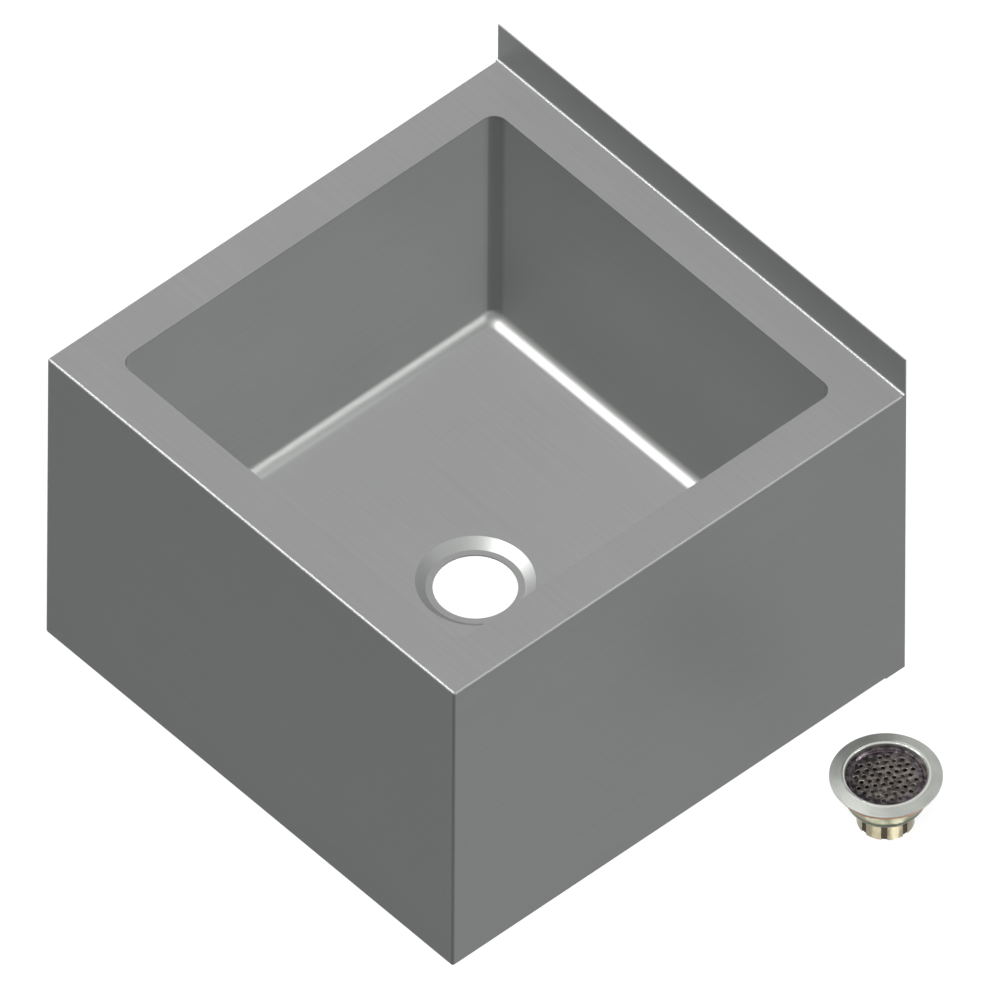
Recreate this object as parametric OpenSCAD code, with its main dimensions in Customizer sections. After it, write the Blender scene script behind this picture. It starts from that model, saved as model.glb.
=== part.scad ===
// Floor-mounted mop service sink of folded and welded stainless sheet, with its loose
// 3-1/2 in drain fitting standing beside it. Origin: on the floor, under the centre of
// the bowl. +Y is the wall side with the splash, -Y the front, +Z up. Millimetres.

/* [Sink body] */
// Width of the sink, left to right
sink_w = 609.6; // [580:1:700]
// Depth of the sink, front to back
sink_d = 609.6; // [580:1:700]
// Height of the rim above the floor
rim_h = 406.4; // [360:1:480]
// Height of the rear splash above the rim
splash_h = 50.8; // [25:1:200]
// Thickness of the sheet
sheet_t = 1.5; // [1.2:0.1:2]
// Outside radius of the folded edges
bend_r = 3; // [2.6:0.1:5]
// Inside radius of the bend between rim and splash
splash_bend_r = 3; // [2:0.1:6]
// Depth of the rim's turned-down edge
turndown_h = 25.4; // [12:0.1:50]
// Width of the flanges turned in at the floor and under the rim
return_w = 25.4; // [12:0.1:40]

/* [Bowl] */
// Width of the flat rim between the bowl and the sink's faces
rim_w = 50.8; // [42:0.1:75]
// Depth of the bowl below the top of the rim
bowl_depth = 304.8; // [220:1:315]
// Inside radius of every bowl corner and cove
cove_r = 15.9; // [8:0.1:20]
// Side length of the sound-deadening pad
pad_w = 330; // [200:1:380]
// Thickness of the sound-deadening pad
pad_t = 3; // [2:0.5:5]

/* [Drain opening] */
// Clearance of the drain hole round the fitting's sleeve
hole_gap = 0.8; // [0.4:0.1:4]
// Clearance of the stamped recess round the fitting's flange, at the bowl floor
recess_gap = 3.6; // [2:0.1:12]
// Outside diameter of the flat seat at the bottom of the recess
recess_seat_d = 100; // [95:0.5:108]
// Depth of the recess
recess_depth = 9; // [5:0.5:12]

/* [Drain fitting] */
// Distance from the sink's right face to the centre of the fitting
fitting_gap = 140; // [80:1:300]
// Distance of the fitting behind the centre of the sink
fitting_y = 153; // [-250:1:250]
// Height of the fitting over all
fitting_h = 67.4; // [65:0.1:72]
// Diameter of the flange
flange_d = 114.3; // [112:0.1:118]
// Slope of the flange's face in degrees
flange_slope = 12; // [8:0.5:15]
// Thickness of the flange sheet
flange_t = 1.5; // [1:0.1:1.8]
// Radius of the flange's crown
crown_r = 2.2; // [1.9:0.1:3]
// Depth of the strainer's seat below the crown
seat_drop = 5.7; // [5:0.1:7]
// Outside diameter of the sleeve
sleeve_d = 84.4; // [82:0.1:86]
// Wall of the sleeve and cup
cup_t = 1.8; // [1.2:0.1:2.2]
// Radius of the rounded shoulder
shoulder_r = 12; // [9:0.5:14]

/* [Strainer] */
// Diameter of the strainer
strainer_d = 82; // [80:0.1:83]
// Thickness of the strainer plate
strainer_t = 1.2; // [0.8:0.1:1.6]
// Depth of the strainer's dish
dish_h = 3; // [2:0.1:5]
// Diameter of the strainer's holes
strainer_hole_d = 5; // [3:0.1:6]
// Distance between neighbouring holes
strainer_pitch = 8.4; // [7.5:0.1:12]

/* [Gasket, rings and nuts] */
// Outside diameter of the sealing gasket
gasket_d = 109.5; // [100:0.1:111]
// Thickness of the sealing gasket
gasket_t = 5.2; // [3:0.1:6]
// Outside diameter of the friction ring
ring_d = 100; // [96:0.1:104]
// Thickness of the friction ring
ring_t = 1.1; // [0.8:0.1:2]
// Outside diameter of the locknut
locknut_d = 92; // [90:0.1:98]
// Height of the locknut
locknut_h = 6; // [4:0.1:8]
// Number of wrench slots round the locknut
locknut_slots = 6; // [4:1:8]
// Width of a wrench slot
slot_w = 8; // [4:0.5:12]
// Depth of a wrench slot
slot_depth = 1.8; // [1:0.1:2.5]
// Outside diameter of the coupling nut over its pads
nut_d = 58.9; // [56:0.1:62]
// Height of the coupling nut
nut_h = 25.2; // [22:0.1:26]
// Number of wrench pads round the coupling nut
nut_pads = 8; // [6:1:8]
// Height of the wrench pads
nut_pad_h = 21; // [15:0.1:21]
// Height of the pads above the round body of the nut
nut_pad_t = 0.8; // [0.5:0.1:1.2]
// Width of the grooves between the pads
groove_w = 6.1; // [4:0.1:8]
// Depth of the grooves between the pads
groove_depth = 1.5; // [1.2:0.1:2]
// Outside diameter of the threaded outlet neck
neck_d = 48; // [46:0.1:50]
// Wall of the outlet neck
neck_t = 3.4; // [2:0.1:4]
// Hole for the tailpiece in the bottom of the coupling nut
tail_hole_d = 38.8; // [38.5:0.1:40]
// Thickness of the coupling nut's bottom lip
lip_t = 2.6; // [2:0.1:4]
// Thickness of the outlet washer
washer_t = 2.4; // [1.5:0.1:3]

/* [Hidden] */
$fn = 64;

// Overrun of the cutting shapes
over = 1;
// Radial clearance of the threads
thread_gap = 0.1;
// Radial clearance of the strainer in its seat
seat_gap = 0.4;
// Radial clearance of the loose rings round what they enclose
ring_gap = 0.4;
// Clearance between the coupling nut and the bottom of the cup
nut_gap = 0.4;
// Clearance of the sound pad round the stamped recess
pad_gap = 12;
// Width of the ledge under the strainer's edge
ledge_w = 2.4;
// How far the ledge stands out round the flange's wall
ledge_lip = 2.1;
// Width of the bare rim between the strainer's holes and its dish wall
bare_rim = 1.5;
// Height of the chamfer on the coupling nut's pads
pad_chamfer = 1.2;
// Segments of each small rounding in a turned profile
arc_steps = 8;

// Sink
half_w = sink_w / 2;
half_d = sink_d / 2;
bowl_w = sink_w - 2 * rim_w;
bowl_d = sink_d - 2 * rim_w;
half_bowl_w = bowl_w / 2;
half_bowl_d = bowl_d / 2;
plate_z = rim_h - sheet_t;
lip_z = rim_h - turndown_h;
splash_y = half_d - sheet_t - splash_bend_r;
bowl_z = rim_h - bowl_depth;
wall_z = bowl_z + cove_r;
cove_out_r = cove_r + sheet_t;
drain_hole_d = sleeve_d + 2 * hole_gap;
recess_d = flange_d + 2 * recess_gap;
// Slope of the recess and how far its underside is offset at each fold
recess_angle = atan2(recess_depth, (recess_d - recess_seat_d) / 2);
recess_shift = sheet_t * tan(recess_angle / 2);

// Drain fitting
fitting_x = half_w + fitting_gap;
strainer_r = strainer_d / 2;
sleeve_r = sleeve_d / 2;
wall_r = strainer_r + seat_gap;
crown_c = wall_r + crown_r;
crown_z = fitting_h - crown_r;
ledge_z = fitting_h - seat_drop;
ledge_out_r = wall_r + flange_t + ledge_lip;
edge_z = crown_z + crown_r * cos(flange_slope)
    - tan(flange_slope) * (flange_d / 2 - crown_c - crown_r * sin(flange_slope));
gasket_z = flange_under(gasket_d / 2) - gasket_t;
ring_z = gasket_z - ring_t;
locknut_z = ring_z - locknut_h;
cup_z = nut_h + nut_gap;
neck_z = lip_t + washer_t;
nut_r = nut_d / 2;
nut_body_r = nut_r - nut_pad_t;

// Height of the flange's underside at radius r
function flange_under(r) =
    edge_z + (flange_d / 2 - r) * tan(flange_slope) - flange_t / cos(flange_slope);

// Points on an arc of radius r about (x, y), from angle a to angle b
function arc(x, y, r, a, b) = [
    for (i = [0 : arc_steps])
        let (t = a + (b - a) * i / arc_steps)
        [x + r * cos(t), y + r * sin(t)]
];

// Cross-section of a folded sheet: a quarter ring of outside radius r and thickness t
module quarter_ring(r, t) {
    intersection() {
        difference() {
            circle(r = r);
            circle(r = r - t);
        }
        square(r + over);
    }
}

// Folded edge along +X from the origin, convex towards -Y and +Z
module fold_x(length, r, t) {
    rotate([90, 0, 90]) linear_extrude(height = length) mirror([1, 0]) quarter_ring(r, t);
}

// Folded edge along +Y from the origin, convex towards +X and +Z
module fold_y(length, r, t) {
    translate([0, length, 0]) rotate([90, 0, 0]) linear_extrude(height = length) quarter_ring(r, t);
}

// Folded edge along +Z from the origin, convex towards +X and +Y
module fold_z(length, r, t) {
    linear_extrude(height = length) quarter_ring(r, t);
}

// Ball corner where three folds meet, convex towards +X, +Y and +Z
module fold_corner(r, t) {
    rotate_extrude(angle = 90) quarter_ring(r, t);
}

// Both a shape and its mirror image across the sink's centre plane
module both_sides() {
    children();
    mirror([1, 0, 0]) children();
}

// Rounded outline of the bowl opening
module bowl_outline() {
    square([bowl_w - 2 * cove_r, bowl_d], center = true);
    square([bowl_w, bowl_d - 2 * cove_r], center = true);
    for (x = [-1, 1], y = [-1, 1])
        translate([x * (half_bowl_w - cove_r), y * (half_bowl_d - cove_r)]) circle(r = cove_r);
}

// Rim sheet: flat rim with the bowl opening, three turned-down edges and the rear splash
module deck() {
    color([0.60, 0.60, 0.60]) union() {
        difference() {
            translate([-(half_w - bend_r), -(half_d - bend_r), plate_z])
                cube([sink_w - 2 * bend_r, half_d - bend_r + splash_y, sheet_t]);
            translate([0, 0, plate_z - over]) linear_extrude(height = sheet_t + 2 * over) bowl_outline();
        }
        deck_front_edge();
        both_sides() deck_side_edge();
        both_sides() deck_front_corner();
        deck_splash();
    }
}

module deck_front_edge() {
    translate([-(half_w - bend_r), -(half_d - bend_r), rim_h - bend_r])
        fold_x(sink_w - 2 * bend_r, bend_r, sheet_t);
    translate([-(half_w - bend_r), -half_d, lip_z])
        cube([sink_w - 2 * bend_r, sheet_t, turndown_h - bend_r]);
}

module deck_side_edge() {
    translate([half_w - bend_r, -(half_d - bend_r), rim_h - bend_r])
        fold_y(half_d - bend_r + splash_y, bend_r, sheet_t);
    translate([half_w - sheet_t, -(half_d - bend_r), lip_z])
        cube([sheet_t, sink_d - bend_r, turndown_h - bend_r]);
    deck_corner_fill();
}

// Closes the side of the splash bend down to the turned-down edge
module deck_corner_fill() {
    translate([half_w - sheet_t, splash_y, rim_h - bend_r]) difference() {
        cube([sheet_t, half_d - splash_y, bend_r + splash_bend_r]);
        translate([-over, 0, bend_r + splash_bend_r]) rotate([0, 90, 0])
            cylinder(h = sheet_t + 2 * over, r = splash_bend_r + sheet_t / 2);
    }
}

module deck_front_corner() {
    translate([half_w - bend_r, -(half_d - bend_r), rim_h - bend_r])
        rotate([0, 0, -90]) fold_corner(bend_r, sheet_t);
    translate([half_w - bend_r, -(half_d - bend_r), lip_z])
        rotate([0, 0, -90]) fold_z(turndown_h - bend_r, bend_r, sheet_t);
}

module deck_splash() {
    translate([-half_w, splash_y, rim_h + splash_bend_r])
        rotate([180, 0, 0]) fold_x(sink_w, splash_bend_r + sheet_t, sheet_t);
    translate([-half_w, half_d - sheet_t, rim_h + splash_bend_r])
        cube([sink_w, sheet_t, splash_h - splash_bend_r]);
}

// Apron: front and both sides in one folded sheet, with its edge turned in at the floor
module apron() {
    color([0.46, 0.47, 0.46]) union() {
        translate([-(half_w - bend_r), -half_d, bend_r])
            cube([sink_w - 2 * bend_r, sheet_t, lip_z - bend_r]);
        translate([half_w - bend_r, -(half_d - bend_r), bend_r])
            rotate([180, 0, 180]) fold_x(sink_w - 2 * bend_r, bend_r, sheet_t);
        both_sides() apron_side();
        apron_return();
    }
}

module apron_side() {
    translate([half_w - sheet_t, -(half_d - bend_r), bend_r])
        cube([sheet_t, sink_d - bend_r, lip_z - bend_r]);
    // Notch at the back, where the rear panel's flange passes
    translate([half_w - sheet_t, half_d - return_w, 0])
        cube([sheet_t, return_w, bend_r]);
    translate([half_w - bend_r, -(half_d - bend_r), bend_r])
        mirror([0, 0, 1]) fold_y(sink_d - bend_r - return_w, bend_r, sheet_t);
    translate([half_w - bend_r, -(half_d - bend_r), bend_r])
        rotate([0, 0, -90]) fold_z(lip_z - bend_r, bend_r, sheet_t);
    translate([half_w - bend_r, -(half_d - bend_r), bend_r])
        mirror([0, 0, 1]) rotate([0, 0, -90]) fold_corner(bend_r, sheet_t);
}

// Flat flange at the floor, round three sides
module apron_return() {
    outer_w = half_w - bend_r;
    outer_d = half_d - bend_r;
    inner_w = half_w - return_w;
    inner_d = half_d - return_w;
    linear_extrude(height = sheet_t) polygon([
        [-outer_w, inner_d], [-outer_w, -outer_d], [outer_w, -outer_d], [outer_w, inner_d],
        [inner_w, inner_d], [inner_w, -inner_d], [-inner_w, -inner_d], [-inner_w, inner_d]
    ]);
}

// Rear panel: a channel between the sides, with a flange at the floor and one under the rim
module rear_panel() {
    fold_y0 = half_d - bend_r;
    color([0.46, 0.47, 0.46]) union() {
        translate([-(half_w - sheet_t), half_d - sheet_t, bend_r])
            cube([sink_w - 2 * sheet_t, sheet_t, plate_z - 2 * bend_r]);
        translate([half_w - sheet_t, fold_y0, bend_r])
            rotate([0, 0, 180]) mirror([0, 0, 1]) fold_x(sink_w - 2 * sheet_t, bend_r, sheet_t);
        translate([-(half_w - sheet_t), half_d - return_w, 0])
            cube([sink_w - 2 * sheet_t, return_w - bend_r, sheet_t]);
        translate([half_w - bend_r, fold_y0, plate_z - bend_r])
            rotate([0, 0, 180]) fold_x(sink_w - 2 * bend_r, bend_r, sheet_t);
        translate([-(half_w - bend_r), half_d - return_w, plate_z - sheet_t])
            cube([sink_w - 2 * bend_r, return_w - bend_r, sheet_t]);
    }
}

// Flat bowl wall between the coved corners, at the front
module bowl_flat_wall() {
    translate([-(half_bowl_w - cove_r), -half_bowl_d - sheet_t, wall_z])
        cube([bowl_w - 2 * cove_r, sheet_t, plate_z - wall_z]);
}

module bowl_front_wall() {
    color([0.46, 0.47, 0.46]) bowl_flat_wall();
}

module bowl_back_wall() {
    color([0.41, 0.42, 0.41]) mirror([0, 1, 0]) bowl_flat_wall();
}

// Side wall of the bowl with its two coved vertical corners, at the right
module bowl_coved_wall() {
    wall_h = plate_z - wall_z;
    translate([half_bowl_w, -(half_bowl_d - cove_r), wall_z])
        cube([sheet_t, bowl_d - 2 * cove_r, wall_h]);
    for (side = [0, 1])
        mirror([0, side, 0])
            translate([half_bowl_w - cove_r, half_bowl_d - cove_r, wall_z])
                fold_z(wall_h, cove_out_r, sheet_t);
}

module bowl_right_wall() {
    color([0.48, 0.49, 0.48]) union() bowl_coved_wall();
}

module bowl_left_wall() {
    color([0.48, 0.49, 0.48]) mirror([1, 0, 0]) union() bowl_coved_wall();
}

// Coved bowl bottom with the stamped drain recess and the drain hole
module bowl_bottom() {
    flat_w = bowl_w - 2 * cove_r;
    flat_d = bowl_d - 2 * cove_r;
    color([0.60, 0.60, 0.60]) translate([0, 0, bowl_z]) union() {
        difference() {
            union() {
                translate([-flat_w / 2, -flat_d / 2, -sheet_t]) cube([flat_w, flat_d, sheet_t]);
                translate([0, 0, -recess_depth - sheet_t])
                    cylinder(
                        h = recess_depth,
                        r1 = recess_seat_d / 2 + recess_shift,
                        r2 = recess_d / 2 + recess_shift
                    );
            }
            recess_cut();
        }
        translate([0, 0, cove_r]) {
            for (turn = [0, 180]) {
                rotate([0, 0, turn]) translate([flat_w / 2, -flat_d / 2, 0])
                    mirror([0, 0, 1]) fold_y(flat_d, cove_out_r, sheet_t);
                rotate([0, 0, turn]) translate([-flat_w / 2, -flat_d / 2, 0])
                    mirror([0, 0, 1]) fold_x(flat_w, cove_out_r, sheet_t);
            }
            for (x = [0, 1], y = [0, 1])
                mirror([x, 0, 0]) mirror([0, y, 0])
                    translate([flat_w / 2, flat_d / 2, 0])
                        mirror([0, 0, 1]) fold_corner(cove_out_r, sheet_t);
        }
    }
}

// The recess and the hole through it, measured down from the bowl floor
module recess_cut() {
    translate([0, 0, -recess_depth])
        cylinder(
            h = recess_depth + over,
            r1 = recess_seat_d / 2,
            r2 = recess_d / 2 + over / tan(recess_angle)
        );
    translate([0, 0, -recess_depth - sheet_t - over])
        cylinder(h = sheet_t + 2 * over, d = drain_hole_d);
}

// Sound-deadening pad glued under the bowl bottom, round the recess
module sound_pad() {
    color([0.16, 0.16, 0.17]) translate([0, 0, bowl_z - sheet_t - pad_t]) difference() {
        translate([-pad_w / 2, -pad_w / 2, 0]) cube([pad_w, pad_w, pad_t]);
        translate([0, 0, -over]) cylinder(h = pad_t + 2 * over, r = recess_d / 2 + recess_shift + pad_gap);
    }
}

// Puts a piece of the drain fitting where it stands beside the sink
module at_fitting() {
    translate([fitting_x, fitting_y, 0]) children();
}

// Ring of rectangular section, from radius r1 to radius r2
module ring(r1, r2, h) {
    difference() {
        cylinder(h = h, r = r2);
        translate([0, 0, -over]) cylinder(h = h + 2 * over, r = r1);
    }
}

// Flange: a sloping face that rises to a crown and turns down into the strainer's well
module drain_flange() {
    flange_r = flange_d / 2;
    color([0.70, 0.71, 0.69]) at_fitting() rotate_extrude() polygon(concat(
        [[flange_r, edge_z]],
        arc(crown_c, crown_z, crown_r, 90 - flange_slope, 180),
        [[wall_r, ledge_z], [wall_r + flange_t, ledge_z]],
        arc(crown_c, crown_z, crown_r - flange_t, 180, 90 - flange_slope),
        [[flange_r, edge_z - flange_t / cos(flange_slope)]]
    ));
}

// Dished strainer with a staggered field of round holes
module strainer() {
    rim_in = strainer_r - ledge_w - seat_gap;
    floor_r = rim_in - dish_h / 2;
    hole_field_r = floor_r - bare_rim - strainer_hole_d / 2;
    row = strainer_pitch * sin(60);
    steps = ceil(hole_field_r / row);
    color([0.34, 0.31, 0.35]) at_fitting() translate([0, 0, ledge_z]) difference() {
        rotate_extrude() polygon([
            [0, -dish_h], [floor_r, -dish_h], [rim_in, 0], [strainer_r, 0],
            [strainer_r, strainer_t], [rim_in, strainer_t],
            [floor_r, strainer_t - dish_h], [0, strainer_t - dish_h]
        ]);
        for (i = [-steps : steps], j = [-2 * steps : 2 * steps])
            let (x = strainer_pitch * (j + i / 2), y = row * i)
                if (norm([x, y]) < hole_field_r)
                    translate([x, y, -dish_h - over])
                        cylinder(h = strainer_t + 2 * over, d = strainer_hole_d, $fn = 24);
    }
}

module flange_gasket() {
    color([0.85, 0.42, 0.22]) at_fitting() translate([0, 0, gasket_z])
        ring(ledge_out_r + ring_gap, gasket_d / 2, gasket_t);
}

module friction_ring() {
    color([0.78, 0.70, 0.55]) at_fitting() translate([0, 0, ring_z])
        ring(sleeve_r + ring_gap, ring_d / 2, ring_t);
}

// Locknut with wrench slots round its edge
module locknut() {
    color([0.80, 0.80, 0.78]) at_fitting() translate([0, 0, locknut_z]) difference() {
        ring(sleeve_r + thread_gap, locknut_d / 2, locknut_h);
        for (i = [0 : locknut_slots - 1])
            rotate([0, 0, 360 * i / locknut_slots])
                translate([locknut_d / 2 - slot_depth, -slot_w / 2, -over])
                    cube([slot_depth + over, slot_w, locknut_h + 2 * over]);
    }
}

// Cup: seat ledge, sleeve, rounded shoulder, bottom and outlet neck, turned in one piece
module drain_cup() {
    sleeve_in = sleeve_r - cup_t;
    shoulder_c = sleeve_r - shoulder_r;
    shoulder_z = cup_z + shoulder_r;
    neck_r = neck_d / 2;
    color([0.78, 0.75, 0.66]) at_fitting() union() {
        translate([0, 0, ledge_z - cup_t]) ring(strainer_r - ledge_w, ledge_out_r, cup_t);
        translate([0, 0, shoulder_z]) ring(sleeve_in, sleeve_r, ledge_z - cup_t - shoulder_z);
        rotate_extrude() translate([shoulder_c, shoulder_z]) mirror([0, 1]) quarter_ring(shoulder_r, cup_t);
        translate([0, 0, cup_z]) ring(neck_r - neck_t, shoulder_c, cup_t);
        translate([0, 0, neck_z]) ring(neck_r - neck_t, neck_r, cup_z - neck_z);
    }
}

module outlet_washer() {
    color([0.15, 0.15, 0.15]) at_fitting() translate([0, 0, lip_t])
        ring(tail_hole_d / 2 + thread_gap, neck_d / 2 - thread_gap, washer_t);
}

// Coupling nut: threaded round body, raised wrench pads and a lip round the tailpiece hole
module coupling_nut() {
    color([0.76, 0.70, 0.52]) at_fitting() difference() {
        union() {
            cylinder(h = nut_h, r = nut_body_r);
            cylinder(h = nut_pad_h - pad_chamfer, r = nut_r);
            translate([0, 0, nut_pad_h - pad_chamfer])
                cylinder(h = pad_chamfer, r1 = nut_r, r2 = nut_body_r);
        }
        for (i = [0 : nut_pads - 1])
            rotate([0, 0, 360 * i / nut_pads])
                translate([nut_r - groove_depth, -groove_w / 2, -over])
                    cube([groove_depth + over, groove_w, nut_h + 2 * over]);
        translate([0, 0, lip_t]) cylinder(h = nut_h, r = neck_d / 2 + thread_gap);
        translate([0, 0, -over]) cylinder(h = lip_t + 2 * over, d = tail_hole_d);
    }
}

deck();
apron();
rear_panel();
bowl_front_wall();
bowl_back_wall();
bowl_left_wall();
bowl_right_wall();
bowl_bottom();
sound_pad();
drain_flange();
strainer();
flange_gasket();
friction_ring();
locknut();
drain_cup();
outlet_washer();
coupling_nut();
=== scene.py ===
"""Looks of a floor-mounted mop service sink and of the loose drain fitting beside it.

The row frame is in metres: the origin is on the floor under the centre of the bowl, +Y is
the wall side with the splash, -Y the front and +Z up.
"""
import math

import bmesh
import bpy
from mathutils import Matrix, Vector


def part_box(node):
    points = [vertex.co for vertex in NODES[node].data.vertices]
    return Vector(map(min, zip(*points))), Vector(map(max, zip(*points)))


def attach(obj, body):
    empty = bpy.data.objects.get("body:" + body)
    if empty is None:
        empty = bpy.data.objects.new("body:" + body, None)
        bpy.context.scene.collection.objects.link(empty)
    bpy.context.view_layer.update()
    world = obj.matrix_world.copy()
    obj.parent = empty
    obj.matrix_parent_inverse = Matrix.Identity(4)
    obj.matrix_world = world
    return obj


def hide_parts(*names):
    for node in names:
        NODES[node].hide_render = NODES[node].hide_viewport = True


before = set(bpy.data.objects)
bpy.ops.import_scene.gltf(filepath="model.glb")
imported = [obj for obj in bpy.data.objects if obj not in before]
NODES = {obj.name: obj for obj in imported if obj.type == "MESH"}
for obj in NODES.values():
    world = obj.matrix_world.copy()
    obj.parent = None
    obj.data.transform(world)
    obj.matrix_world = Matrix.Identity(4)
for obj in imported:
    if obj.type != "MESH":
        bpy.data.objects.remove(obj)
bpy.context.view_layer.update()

# Places read off the frame, and sizes of the part's source that no box gives, in metres
MM = 0.001
deck_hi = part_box("deck")[1]
bowl_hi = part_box("bowl_bottom")[1]
flange_lo, flange_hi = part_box("drain_flange")
nut_lo, nut_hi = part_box("coupling_nut")
locknut_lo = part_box("locknut")[0]
SPLASH_H = 50.8 * MM
BOWL_DEPTH = 304.8 * MM
RIM_Z = deck_hi.z - SPLASH_H
BOWL_FLOOR_Z = RIM_Z - BOWL_DEPTH
SEAT_R = 50 * MM
SLOPE_R = 61 * MM
FITTING_X = (flange_lo.x + flange_hi.x) / 2
FITTING_Y = (flange_lo.y + flange_hi.y) / 2
NUT_R = (nut_hi.x - nut_lo.x) / 2
CUP_IN_R = 40.4 * MM
NECK_IN_R = 20.6 * MM
THREAD_PITCH = 1.5 * MM

# The photograph: a parallel view, and where the row frame's origin lies in it
PHOTO_PX = 1000
VIEW_WIDTH = 1.00177
CAMERA_AZIMUTH = 47.75
CAMERA_ELEVATION = 47.78
CAMERA_ROLL = 0.32
CAMERA_DISTANCE = 3.0
ORIGIN_PX_X = 475.05
ORIGIN_PX_Y = 648.86

# Floor and light: how much of the floor's paleness shows by itself to camera and gloss
FLOOR_SIDE = 14.0
FLOOR_DROP = 0.2 * MM
FLOOR_GLOW = 0.90
BACKING_DROP = 0.1 * MM
BACKING_GLOW = 1.0
FLOOR_GREY = 0.15
WORLD_DIFFUSE = 0.12

# Brushed sheet: how much greener than grey the polished places look, and the painted tint of the
# upright sheets
TINT = 0.015
UPRIGHT_PAINTED_TINT = 0.045

# Brushed sheet: how fast the fine lines and the wide streaks change over a metre
LINES_ACROSS, LINES_ALONG = 2600.0, 14.0
STREAKS_ACROSS, STREAKS_ALONG = 420.0, 5.0
STREAKS_APART = 3.0

# Brushed sheet: roughness and metal of its satin, of its polish and of a pressed slope
SATIN_ROUGH, POLISH_ROUGH, SLOPE_ROUGH = 0.46, 0.47, 0.46
SATIN_METAL, POLISH_METAL, SLOPE_METAL = 0.12, 0.62, 0.72

# A face looks along an axis when its normal has more than this share of that axis
MOSTLY = 0.7

# Finished pieces: what counts as one point, as a flat face and as a hard edge
ONE_POINT = 0.002 * MM
FLAT_ANGLE = math.radians(0.5)
HARD_ANGLE = math.radians(28)
FLAT_WEIGHT = 80


# Camera

def look_axes(azimuth, elevation):
    """Right, up and backward directions of a camera that stands at these angles."""
    a, e = math.radians(azimuth), math.radians(elevation)
    right = Vector((math.cos(a), math.sin(a), 0))
    back = Vector((math.sin(a) * math.cos(e), -math.cos(a) * math.cos(e), math.sin(e)))
    return right, back.cross(right), back


def make_camera():
    """Parallel camera at the photograph's angle, placed so that the origin meets its pixel."""
    right, up, back = look_axes(CAMERA_AZIMUTH, CAMERA_ELEVATION)
    roll = math.radians(CAMERA_ROLL)
    right, up = (right * math.cos(roll) + up * math.sin(roll),
                 up * math.cos(roll) - right * math.sin(roll))
    metres_per_px = VIEW_WIDTH / PHOTO_PX
    aside = (PHOTO_PX / 2 - ORIGIN_PX_X) * metres_per_px
    above = (ORIGIN_PX_Y - PHOTO_PX / 2) * metres_per_px
    data = bpy.data.cameras.new("photo_camera")
    data.type = "ORTHO"
    data.ortho_scale = VIEW_WIDTH
    camera = bpy.data.objects.new("photo_camera", data)
    camera.location = right * aside + up * above + back * CAMERA_DISTANCE
    camera.rotation_euler = Matrix((right, up, back)).transposed().to_euler()
    bpy.context.scene.collection.objects.link(camera)
    bpy.context.scene.camera = camera


# Light

def direction(azimuth, elevation):
    """Direction from the origin to a camera that stands at these angles."""
    return look_axes(azimuth, elevation)[2]


def make_sun(name, toward, strength, angle, diffuse=True, gloss=True, shadow=True):
    """Parallel light that comes from the direction toward, and is this many degrees wide."""
    data = bpy.data.lights.new(name, "SUN")
    data.energy = strength * math.pi
    data.angle = math.radians(angle)
    data.use_shadow = shadow
    data.cycles.use_multiple_importance_sampling = shadow
    sun = bpy.data.objects.new(name, data)
    sun.rotation_euler = Vector(toward).to_track_quat("Z", "Y").to_euler()
    sun.visible_diffuse = diffuse
    sun.visible_glossy = gloss
    bpy.context.scene.collection.objects.link(sun)
    return sun


def make_soft_box(name, toward, strength, angle):
    """Wide light without shadow that only gloss shows."""
    return make_sun(name, toward, strength, angle, diffuse=False, shadow=False)


def make_wide_lamp(name, toward, distance, width, strength):
    """Large round lamp far off, about as bright on the ground as a sun of this strength."""
    data = bpy.data.lights.new(name, "AREA")
    data.shape = "DISK"
    data.size = width
    data.energy = strength * (math.pi * distance) ** 2
    lamp = bpy.data.objects.new(name, data)
    lamp.location = Vector(toward) * distance
    lamp.rotation_euler = Vector(toward).to_track_quat("Z", "Y").to_euler()
    lamp.visible_camera = False
    lamp.visible_glossy = False
    bpy.context.scene.collection.objects.link(lamp)
    return lamp


def light_only(lamps, pieces, state="INCLUDE"):
    """Lets the lamps light only these pieces, or with EXCLUDE all but these."""
    receivers = bpy.data.collections.new(f"{lamps[0].name}_receivers")
    for piece in pieces:
        receivers.objects.link(piece)
    for member in receivers.collection_objects:
        member.light_linking.link_state = state
    for lamp in lamps:
        lamp.light_linking.receiver_collection = receivers


def make_lights():
    """Overhead light, a soft fill from each side, and soft boxes that only gloss shows.

    The suns that light only some pieces have receivers that lie one inside the other: the
    bowl bottom, then the fitting's upright pieces too, then all but the floor. Otherwise
    the renderer leaves some suns out.
    """
    floor = bpy.data.objects["floor"]
    floor_light = make_wide_lamp("floor_light", direction(48, 70),
                                 distance=6.0, width=5.0, strength=1.41)
    light_only([floor_light], [floor])
    overhead = make_sun("overhead", (0, 0, 1), strength=0.66, angle=6, gloss=False)
    light_only([overhead], [floor], "EXCLUDE")
    make_sun("fill_front_left", direction(-34, 20), strength=0.15, angle=30,
             gloss=False, shadow=False)
    make_sun("fill_back_right", direction(122, 20), strength=0.46, angle=30,
             gloss=False, shadow=False)
    make_soft_box("soft_box_left", direction(-50.3, 49.5), strength=0.86, angle=60)
    make_soft_box("soft_box_right", direction(116.7, 0), strength=0.30, angle=36)
    bowl_box = make_soft_box("soft_box_bowl", direction(-18, 50), strength=0.50, angle=40)
    light_only([bowl_box], [NODES["bowl_bottom"]])


def light_fitting(pieces):
    """Two reflectors below the floor for the drain fitting's upright faces.

    They also reach the bowl bottom, so that all receivers lie one inside the other.
    """
    left = make_soft_box("reflector_left", direction(22, -46), strength=0.16, angle=40)
    right = make_soft_box("reflector_right", direction(84, -46), strength=0.15, angle=26)
    light_only([left, right], pieces + [NODES["bowl_bottom"]])


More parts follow.
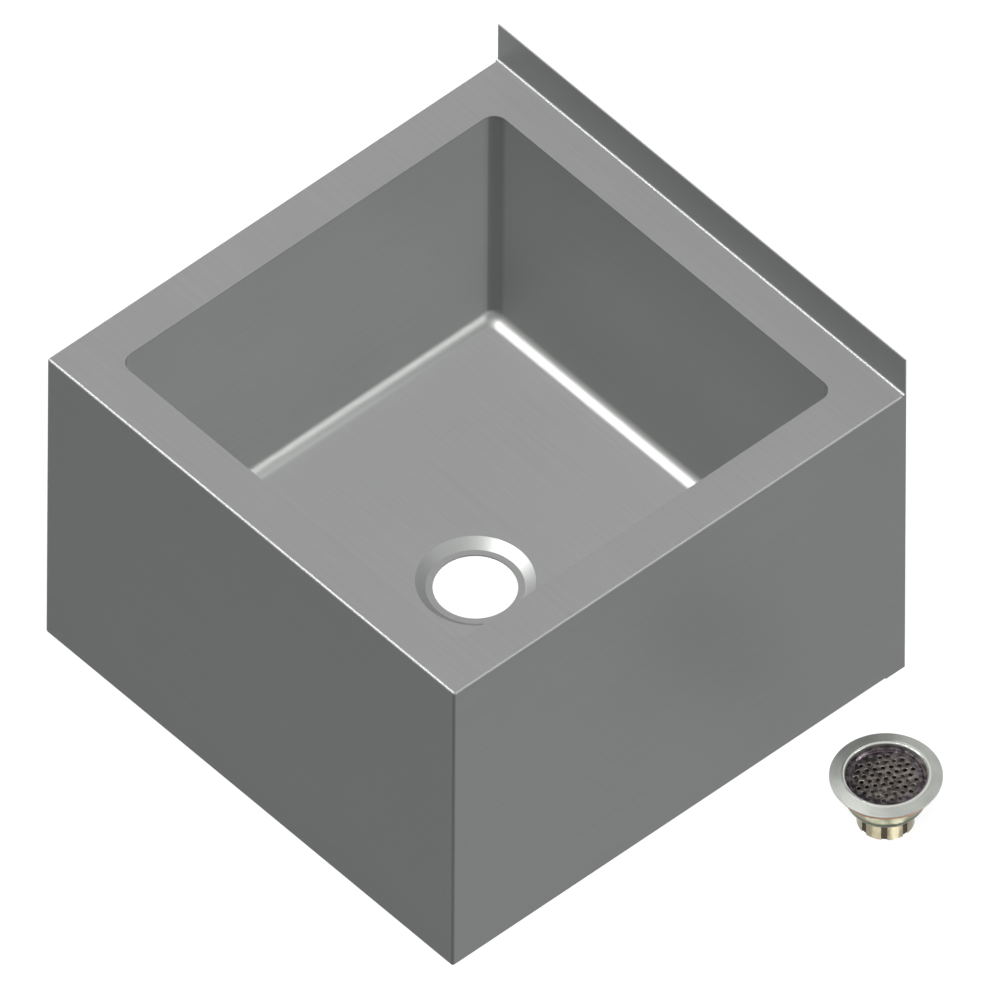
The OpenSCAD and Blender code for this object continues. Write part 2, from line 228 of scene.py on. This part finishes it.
def seen_directly(nodes, links):
    """A value of 1 for camera, glossy and transmission rays, and 0 for diffuse ones."""
    path = nodes.new("ShaderNodeLightPath")
    most = path.outputs["Is Camera Ray"]
    for kind in ("Is Glossy Ray", "Is Transmission Ray"):
        larger = nodes.new("ShaderNodeMath")
        larger.operation = "MAXIMUM"
        links.new(most, larger.inputs[0])
        links.new(path.outputs[kind], larger.inputs[1])
        most = larger.outputs[0]
    return most


def make_world():
    """White to the camera and in gloss, and a dim even light on the surfaces."""
    world = bpy.data.worlds.new("studio")
    bpy.context.scene.world = world
    world.use_nodes = True
    nodes, links = world.node_tree.nodes, world.node_tree.links
    background = nodes["Background"]
    strength = nodes.new("ShaderNodeMapRange")
    strength.inputs["To Min"].default_value = WORLD_DIFFUSE
    strength.inputs["To Max"].default_value = 1.0
    links.new(seen_directly(nodes, links), strength.inputs["Value"])
    links.new(strength.outputs["Result"], background.inputs["Strength"])
    background.inputs["Color"].default_value = rgb(1, 1, 1)


def make_stage_sheet(name, half, drop, glow):
    """Level square that glows to the camera and in gloss, and keeps shadow in its own grey."""
    mesh = bpy.data.meshes.new(name)
    mesh.from_pydata(
        [(-half, -half, 0), (half, -half, 0), (half, half, 0), (-half, half, 0)],
        [], [(0, 1, 2, 3)],
    )
    sheet = bpy.data.objects.new(name, mesh)
    sheet.location.z = -drop
    bpy.context.scene.collection.objects.link(sheet)
    material = bpy.data.materials.new(f"pale_{name}")
    material.use_nodes = True
    nodes, links = material.node_tree.nodes, material.node_tree.links
    nodes.clear()
    output = nodes.new("ShaderNodeOutputMaterial")
    matt = nodes.new("ShaderNodeBsdfDiffuse")
    matt.inputs["Color"].default_value = rgb(FLOOR_GREY, FLOOR_GREY, FLOOR_GREY)
    emission = nodes.new("ShaderNodeEmission")
    strength = nodes.new("ShaderNodeMath")
    strength.operation = "MULTIPLY"
    strength.inputs[1].default_value = glow
    links.new(seen_directly(nodes, links), strength.inputs[0])
    links.new(strength.outputs[0], emission.inputs["Strength"])
    both = nodes.new("ShaderNodeAddShader")
    links.new(matt.outputs[0], both.inputs[0])
    links.new(emission.outputs[0], both.inputs[1])
    links.new(both.outputs[0], output.inputs["Surface"])
    mesh.materials.append(material)


def make_floor():
    """The floor, and a whiter glowing sheet under the sink that only shows through the drain hole:
    painted light where the inside of the base lies in shade.
    """
    make_stage_sheet("floor", FLOOR_SIDE / 2, FLOOR_DROP, FLOOR_GLOW)
    make_stage_sheet("hole_backing", bowl_hi.x, BACKING_DROP, BACKING_GLOW)


# Materials

def rgb(red, green, blue):
    """Linear colour."""
    return (red, green, blue, 1)


def grey(value, green=0.0):
    """Linear grey, tinted a little."""
    return rgb(value, value * (1 + green), value)


class Maker:
    """Builds one material's nodes, and hands back sockets."""

    def __init__(self, name):
        self.material = bpy.data.materials.new(name)
        self.material.use_nodes = True
        self.nodes = self.material.node_tree.nodes
        self.links = self.material.node_tree.links
        self.shader = self.nodes["Principled BSDF"]
        self.place = self.nodes.new("ShaderNodeTexCoord").outputs["Object"]
        self.normal = self.nodes.new("ShaderNodeNewGeometry").outputs["Normal"]

    def put(self, value, socket):
        """Links a socket to this one, or gives it a plain value."""
        if isinstance(value, bpy.types.NodeSocket):
            self.links.new(value, socket)
        else:
            socket.default_value = value

    def math(self, operation, a, b=0.0):
        node = self.nodes.new("ShaderNodeMath")
        node.operation = operation
        self.put(a, node.inputs[0])
        self.put(b, node.inputs[1])
        return node.outputs[0]

    def add(self, first, *rest):
        for value in rest:
            first = self.math("ADD", first, value)
        return first

    def times(self, first, *rest):
        for value in rest:
            first = self.math("MULTIPLY", first, value)
        return first

    def rest_of(self, share):
        """What is left of 1."""
        return self.math("SUBTRACT", 1.0, share)

    def size_of(self, value):
        """The value without its sign."""
        return self.math("ABSOLUTE", value)

    def radius(self, x, y):
        return self.math("SQRT", self.add(self.times(x, x), self.times(y, y)))

    def spread(self, value, low, high, to_low=0.0, to_high=1.0):
        """The value mapped from low..high to to_low..to_high, smoothly and clamped."""
        node = self.nodes.new("ShaderNodeMapRange")
        node.interpolation_type = "SMOOTHSTEP"
        self.put(value, node.inputs["Value"])
        for socket, number in (("From Min", low), ("From Max", high),
                               ("To Min", to_low), ("To Max", to_high)):
            node.inputs[socket].default_value = number
        return node.outputs["Result"]

    def window(self, value, rise, full, fade, end):
        """1 between full and fade, and down to 0 at rise and at end."""
        return self.times(self.spread(value, rise, full), self.spread(value, end, fade))

    def split(self, vector):
        node = self.nodes.new("ShaderNodeSeparateXYZ")
        self.links.new(vector, node.inputs[0])
        return node.outputs

    def join(self, x, y, z):
        node = self.nodes.new("ShaderNodeCombineXYZ")
        for value, socket in zip((x, y, z), node.inputs):
            self.put(value, socket)
        return node.outputs[0]

    def noise(self, vector, scale=1.0, detail=3.0, rough=0.5):
        """Noise from 0 to 1. Its scale counts the blotches over a metre."""
        node = self.nodes.new("ShaderNodeTexNoise")
        self.links.new(vector, node.inputs["Vector"])
        node.inputs["Scale"].default_value = scale
        node.inputs["Detail"].default_value = detail
        node.inputs["Roughness"].default_value = rough
        return node.outputs["Fac"]

    def mix(self, share, a, b):
        """Colour between a and b."""
        node = self.nodes.new("ShaderNodeMix")
        node.data_type = "RGBA"
        self.put(share, node.inputs["Factor"])
        self.put(a, node.inputs["A"])
        self.put(b, node.inputs["B"])
        return node.outputs["Result"]

    def choose(self, share, a, b):
        """Number between a and b."""
        node = self.nodes.new("ShaderNodeMix")
        self.put(share, node.inputs["Factor"])
        self.put(a, node.inputs["A"])
        self.put(b, node.inputs["B"])
        return node.outputs["Result"]

    def fitting_polar(self):
        """Radius and angle about the drain fitting's axis, and height above the floor."""
        at = self.split(self.place)
        x = self.math("SUBTRACT", at[0], FITTING_X)
        y = self.math("SUBTRACT", at[1], FITTING_Y)
        return self.radius(x, y), self.math("ARCTAN2", y, x), at[2]

    def bump(self, height, strength, distance):
        node = self.nodes.new("ShaderNodeBump")
        node.inputs["Strength"].default_value = strength
        node.inputs["Distance"].default_value = distance
        self.links.new(height, node.inputs["Height"])
        self.links.new(node.outputs["Normal"], self.shader.inputs["Normal"])

    def finish(self, colour, roughness, metallic, gloss=0.5):
        self.put(colour, self.shader.inputs["Base Color"])
        self.put(roughness, self.shader.inputs["Roughness"])
        self.put(metallic, self.shader.inputs["Metallic"])
        self.shader.inputs["Specular IOR Level"].default_value = gloss
        return self.material


def sheet_grain(make):
    """Brushed lines: along X on level faces, level along the sheet on upright ones."""
    at = make.split(make.place)
    normal = make.split(make.normal)
    level = make.math("GREATER_THAN", make.size_of(normal[2]), MOSTLY)
    sideways = make.math("GREATER_THAN", make.size_of(normal[0]), MOSTLY)
    across = make.choose(level, at[2], at[1])
    along = make.choose(sideways, at[0], at[1])
    lines = make.join(make.times(across, LINES_ACROSS), make.times(along, LINES_ALONG), 0.0)
    streaks = make.join(make.times(across, STREAKS_ACROSS), make.times(along, STREAKS_ALONG),
                        STREAKS_APART)
    return make.noise(lines, detail=4.0, rough=0.6), make.noise(streaks, rough=0.55)


def sheet_steel(name, value, bright, polish_x, polish_y, painted_corner_shade,
                painted_shading_by_height=(), pressed=False):
    """Satin brushed sheet, polished where it is rounded or pressed to a slope.

    polish_x and polish_y give how far upwards a face looks where the polish rises, is full,
    fades and ends, on folds that look to the left or right and to the front or back.
    painted_corner_shade tells how much darker an upright folded corner is painted, as painted shade,
    where it looks more to the front or back, and more to the left or right.
    painted_shading_by_height lists a share of value, painted light or shade, and the heights between
    which it takes over.
    """
    make = Maker(name)
    fine, streak = sheet_grain(make)
    cloud = make.noise(make.place, scale=5.5, detail=4.0, rough=0.55)
    shade = make.add(make.spread(streak, 0.25, 0.75, -0.15, 0.15),
                     make.spread(cloud, 0.3, 0.7, -0.10, 0.10),
                     make.spread(fine, 0.2, 0.8, -0.12, 0.12))

    at = make.split(make.place)
    facing = make.split(make.normal)
    upward = facing[2]
    side_x = make.size_of(facing[0])
    side_y = make.size_of(facing[1])
    upright = make.spread(make.size_of(upward), 0.5, 0.2)
    corner = make.times(upright, make.spread(side_y, 0.28, 0.42), make.spread(side_x, 0.14, 0.26))
    looks_x = make.spread(make.math("SUBTRACT", side_x, side_y), -0.3, 0.3)
    polished = make.choose(looks_x, make.window(upward, *polish_y), make.window(upward, *polish_x))

    # Painted shade: upright folded corners are darkened, more where they look to the left or right.
    darker = make.times(corner, make.spread(side_x, 0.5, 0.9, *painted_corner_shade))
    level = make.times(value, make.spread(shade, -0.5, 0.5, 0.94, 1.06), make.rest_of(darker))
    # Painted light and shade: shares of the value between two heights.
    for share, start, end in painted_shading_by_height:
        level = make.times(level, make.spread(at[2], start, end, 1.0, share))
    rough = make.choose(polished, make.add(SATIN_ROUGH, make.times(shade, 0.12)), POLISH_ROUGH)
    metal = make.choose(polished, SATIN_METAL, POLISH_METAL)
    if pressed:
        radius = make.radius(at[0], at[1])
        # Painted shade: the seat at the bottom of the pressed recess is a little darker.
        level = make.times(level, make.spread(radius, SEAT_R, SEAT_R + 1 * MM, 0.95, 1.0))
        slope = make.times(make.spread(radius, SLOPE_R + 1 * MM, SLOPE_R), polished)
        rough = make.choose(slope, rough, SLOPE_ROUGH)
        metal = make.choose(slope, metal, SLOPE_METAL)
        make.shader.inputs["Specular Tint"].default_value = grey(0.25)

    # Painted tint: upright faces, not their folded corners, are greener, as the light on them looks.
    green = make.times(make.math("SUBTRACT", upright, corner), UPRIGHT_PAINTED_TINT)
    satin = make.join(level, make.times(level, make.add(1.0, green)),
                      make.times(level, make.add(1.0, make.times(green, 0.6))))
    colour = make.mix(polished, satin, grey(bright, TINT))
    make.bump(fine, strength=0.10, distance=0.04 * MM)
    return make.finish(colour, rough, metal, gloss=0.12)


def pad_rubber():
    """Matt black rubber under the bowl."""
    make = Maker("pad_rubber")
    cloud = make.noise(make.place, scale=60.0)
    rough = make.add(0.8, make.spread(cloud, 0.3, 0.7, -0.03, 0.03))
    return make.finish(rgb(0.03, 0.03, 0.032), rough, metallic=0.0)


def dress(node, material):
    """Puts one material on every face of a CAD node."""
    slots = NODES[node].data.materials
    for i in range(len(slots)):
        slots[i] = material


def dress_sink():
    """Painted shade below the rim, painted light on the splash and, growing upwards, on the bowl
    walls.
    """
    # Both kinds of sheet get painted shade in their upright folded corners.
    outer_folds = {
        "polish_x": (0.38, 0.75, 0.80, 0.93),
        "polish_y": (0.38, 0.75, 0.955, 0.997),
        "painted_corner_shade": (0.14, 0.14),
    }
    coves = {
        "polish_x": (0.01, 0.30, 0.88, 0.99),
        "polish_y": (0.10, 0.50, 0.955, 0.997),
        "painted_corner_shade": (0.12, 0.28),
    }
    # Painted shade below the rim; painted light on the splash and up the bowl walls.
    painted_shade_below_rim = (0.90, RIM_Z - 1 * MM, RIM_Z - 3 * MM)
    splash = (1.23, RIM_Z + 1 * MM, RIM_Z + 3 * MM)
    wall_foot, wall_high = BOWL_FLOOR_Z + 2 * MM, BOWL_FLOOR_Z + 200 * MM

    outside = sheet_steel("outer_steel_satin_painted_shading", 0.305, 0.42, **outer_folds,
                          painted_shading_by_height=(painted_shade_below_rim, splash))
    bottom = sheet_steel("bowl_steel_satin", 0.324, 0.48, **coves, pressed=True)
    sides = sheet_steel("bowl_side_satin_painted_light", 0.324, 0.48, **coves,
                        painted_shading_by_height=((1.115, wall_foot, wall_high),))
    ends = sheet_steel("bowl_end_satin_painted_light", 0.324, 0.48, **coves,
                       painted_shading_by_height=((1.25, wall_foot, wall_high),))
    for node in ("deck", "apron", "rear_panel"):
        dress(node, outside)
    for side, material in (("front", ends), ("back", ends), ("left", sides), ("right", sides)):
        dress(f"bowl_{side}_wall", material)
    dress("bowl_bottom", bottom)
    dress("sound_pad", pad_rubber())


# Drain fitting

def finished(node, body, material, width, segments=2):
    """The shape of a CAD node again, with its hard edges rounded, to stand in for it."""
    source = NODES[node].data
    mesh = bpy.data.meshes.new(f"{node}_finished")
    shape = bmesh.new()
    corners = [shape.verts.new(v.co) for v in source.vertices]
    for face in source.polygons:
        shape.faces.new([corners[i] for i in face.vertices])
    bmesh.ops.remove_doubles(shape, verts=shape.verts, dist=ONE_POINT)
    bmesh.ops.dissolve_limit(shape, angle_limit=FLAT_ANGLE, verts=shape.verts,
                             edges=shape.edges, use_dissolve_boundaries=False)
    hard = [e for e in shape.edges if e.is_manifold and e.calc_face_angle() > HARD_ANGLE]
    bmesh.ops.bevel(shape, geom=hard, offset=width, offset_type="OFFSET", segments=segments,
                    profile=0.5, affect="EDGES", clamp_overlap=True)
    for face in shape.faces:
        face.smooth = True
    shape.to_mesh(mesh)
    shape.free()
    piece = bpy.data.objects.new(f"{node}_finished", mesh)
    bpy.context.scene.collection.objects.link(piece)
    smooth = piece.modifiers.new("flat_faces_first", "WEIGHTED_NORMAL")
    smooth.weight = FLAT_WEIGHT
    smooth.keep_sharp = True
    mesh.materials.append(material)
    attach(piece, body)
    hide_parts(node)
    return piece


def satin_flange():
    """Flange steel turned on a lathe: fine rings and a brighter crown."""
    make = Maker("flange_steel_satin")
    radius, angle, _ = make.fitting_polar()
    rings = make.noise(make.join(make.times(radius, 3200.0), make.times(angle, 1.5), 0.0))
    cloud = make.noise(make.place, scale=45.0)
    crown = make.window(radius, 41.2 * MM, 42.2 * MM, 44.5 * MM, 46.5 * MM)
    shade = make.add(make.spread(rings, 0.25, 0.75), make.spread(cloud, 0.3, 0.7, -0.3, 0.3))
    satin = make.mix(shade, rgb(0.36, 0.37, 0.35), rgb(0.44, 0.45, 0.42))
    colour = make.mix(crown, satin, rgb(0.62, 0.63, 0.60))
    rough = make.choose(crown, make.add(0.36, make.times(shade, 0.06)), 0.2)
    make.bump(rings, strength=0.12, distance=0.03 * MM)
    return make.finish(colour, rough, metallic=0.85, gloss=0.4)


def dark_strainer():
    """Blotchy plate painted dark, as a painted reflection of dark surroundings; browner in the
    middle and darker towards its rim as painted shade, with painted highlights on the edges round
    its holes.
    """
    make = Maker("strainer_plate_dark")
    radius = make.fitting_polar()[0]
    blotch = make.noise(make.place, scale=170.0)
    fine = make.noise(make.place, scale=900.0, detail=2.0)
    # Painted reflection and painted shade: the plate is coloured dark, and darker towards its rim.
    outer = make.spread(radius, 22 * MM, 38 * MM)
    dark = make.mix(outer, rgb(0.095, 0.079, 0.078), rgb(0.045, 0.034, 0.046))
    light = make.mix(outer, rgb(0.300, 0.265, 0.243), rgb(0.150, 0.127, 0.135))
    colour = make.mix(make.spread(blotch, 0.35, 0.68), dark, light)
    sloping = make.spread(make.size_of(make.split(make.normal)[2]), 0.97, 0.85)
    # Painted highlight: sloping faces round the holes are coloured bright.
    painted_hole_glint = make.times(sloping, make.spread(radius, 37 * MM, 36 * MM))
    colour = make.mix(painted_hole_glint, colour, rgb(0.50, 0.48, 0.44))
    rough = make.add(0.24, make.spread(blotch, 0.3, 0.7, -0.03, 0.08))
    make.bump(fine, strength=0.12, distance=0.05 * MM)
    return make.finish(colour, rough, metallic=0.9, gloss=0.4)


def soft_rubber(name, colour, darker, roughness=0.5):
    """Smooth rubber with a soft cloud in its colour."""
    make = Maker(name)
    cloud = make.noise(make.place, scale=130.0, detail=4.0, rough=0.6)
    grain = make.noise(make.place, scale=1800.0, detail=2.0)
    tone = make.mix(make.spread(cloud, 0.3, 0.7), darker, colour)
    rough = make.add(roughness, make.spread(cloud, 0.3, 0.7, -0.05, 0.08))
    make.bump(grain, strength=0.18, distance=0.06 * MM)
    return make.finish(tone, rough, metallic=0.0, gloss=0.4)


def fibre_ring():
    """Matt pressed fibre."""
    make = Maker("ring_fibre_matt")
    fibres = make.noise(make.place, scale=700.0, detail=4.0, rough=0.7)
    tone = make.mix(make.spread(fibres, 0.3, 0.7), rgb(0.40, 0.31, 0.18), rgb(0.60, 0.50, 0.33))
    make.bump(fibres, strength=0.25, distance=0.08 * MM)
    return make.finish(tone, 0.85, metallic=0.0, gloss=0.2)


def bright_locknut():
    """Polished plating with soft cloudy tarnish."""
    make = Maker("locknut_bright")
    cloud = make.noise(make.place, scale=55.0, detail=4.0, rough=0.6)
    fine = make.noise(make.place, scale=1400.0, detail=2.0)
    tone = make.mix(make.spread(cloud, 0.28, 0.66), rgb(0.50, 0.50, 0.47), rgb(0.72, 0.72, 0.70))
    rough = make.add(0.16, make.spread(cloud, 0.3, 0.7, 0.05, -0.03))
    make.bump(fine, strength=0.05, distance=0.03 * MM)
    return make.finish(tone, rough, metallic=1.0)


def cup_thread(make, radius, angle, height):
    """Relief of a fine thread round the sleeve, from a little below the locknut upwards."""
    turn = make.times(angle, THREAD_PITCH / (2 * math.pi))
    wave = make.math("SINE", make.times(make.add(height, turn), 2 * math.pi / THREAD_PITCH))
    above_foot = make.spread(height, locknut_lo.z - 7 * MM, locknut_lo.z - 5.5 * MM)
    on_sleeve = make.spread(radius, 41.5 * MM, 42.0 * MM)
    return make.times(wave, make.times(above_foot, on_sleeve))


def cup_inside(make, radius, height):
    """1 on the inside of the cup and of its neck."""
    bowl = make.times(make.spread(radius, CUP_IN_R + 0.3 * MM, CUP_IN_R + 0.1 * MM),
                      make.spread(height, nut_hi.z + 1.2 * MM, nut_hi.z + 1.6 * MM))
    return make.math("MAXIMUM", bowl, make.spread(radius, NECK_IN_R + 0.3 * MM, NECK_IN_R))


def nickel_cup():
    """Cream polished cup with a fine thread, painted shade below its shoulder and, rougher, inside
    it.
    """
    make = Maker("cup_nickel_polished")
    radius, angle, height = make.fitting_polar()
    inside = cup_inside(make, radius, height)
    # Painted shade: a dark olive band below the shoulder, just above the nut.
    under = make.times(make.spread(height, nut_hi.z + 14 * MM, nut_hi.z + 10 * MM),
                       make.rest_of(inside))
    cloud = make.noise(make.place, scale=38.0)
    # Painted shade: near black inside the cup and its neck, varied by a random cloud.
    inside_cloud = make.noise(make.place, scale=150.0, detail=4.0, rough=0.65)
    cream = make.mix(make.spread(cloud, 0.3, 0.7), rgb(0.19, 0.195, 0.14), rgb(0.26, 0.255, 0.19))
    inside_shade = make.mix(make.spread(inside_cloud, 0.35, 0.65), rgb(0.007, 0.006, 0.006), rgb(0.04, 0.037, 0.03))
    tone = make.mix(inside, make.mix(under, cream, rgb(0.042, 0.060, 0.032)), inside_shade)
    rough = make.add(0.20, make.spread(cloud, 0.3, 0.7, 0.05, -0.03))
    make.bump(cup_thread(make, radius, angle, height), strength=0.5, distance=0.18 * MM)
    return make.finish(tone, make.choose(inside, rough, 0.5), metallic=1.0)


def brass_nut():
    """Warm satin plating on the pads; the grooves rougher, and darker as painted shade."""
    make = Maker("nut_brass_satin")
    radius = make.fitting_polar()[0]
    # Painted shade: the grooves are coloured dark brown.
    groove = make.spread(radius, NUT_R - 0.65 * MM, NUT_R - 1.1 * MM)
    cloud = make.noise(make.place, scale=60.0)
    fine = make.noise(make.place, scale=1500.0, detail=2.0)
    pad = make.mix(make.spread(cloud, 0.3, 0.7), rgb(0.235, 0.21, 0.14), rgb(0.29, 0.26, 0.18))
    colour = make.mix(groove, pad, rgb(0.055, 0.046, 0.033))
    make.bump(fine, strength=0.06, distance=0.03 * MM)
    return make.finish(colour, make.choose(groove, 0.24, 0.5), metallic=1.0)


def dress_fitting():
    """Stands finished pieces in for the CAD nodes, and hands back those below the gasket."""
    orange = soft_rubber("gasket_orange", rgb(0.92, 0.42, 0.21), rgb(0.82, 0.31, 0.13))
    black = soft_rubber("washer_black", rgb(0.035, 0.035, 0.035), rgb(0.02, 0.02, 0.02), 0.6)
    finished("drain_flange", "fitting", satin_flange(), 0.25 * MM)
    finished("strainer", "strainer", dark_strainer(), 0.5 * MM, 3)
    finished("flange_gasket", "fitting", orange, 0.8 * MM, 4)
    finished("friction_ring", "fitting", fibre_ring(), 0.15 * MM)
    locknut = finished("locknut", "fitting", bright_locknut(), 0.6 * MM, 3)
    cup = finished("drain_cup", "fitting", nickel_cup(), 0.3 * MM)
    finished("outlet_washer", "fitting", black, 0.2 * MM)
    nut = finished("coupling_nut", "fitting", brass_nut(), 0.45 * MM, 3)
    return [locknut, cup, nut]


make_camera()
make_floor()
make_world()
make_lights()
dress_sink()
light_fitting(dress_fitting())

bpy.context.scene.view_settings.view_transform = "Standard"
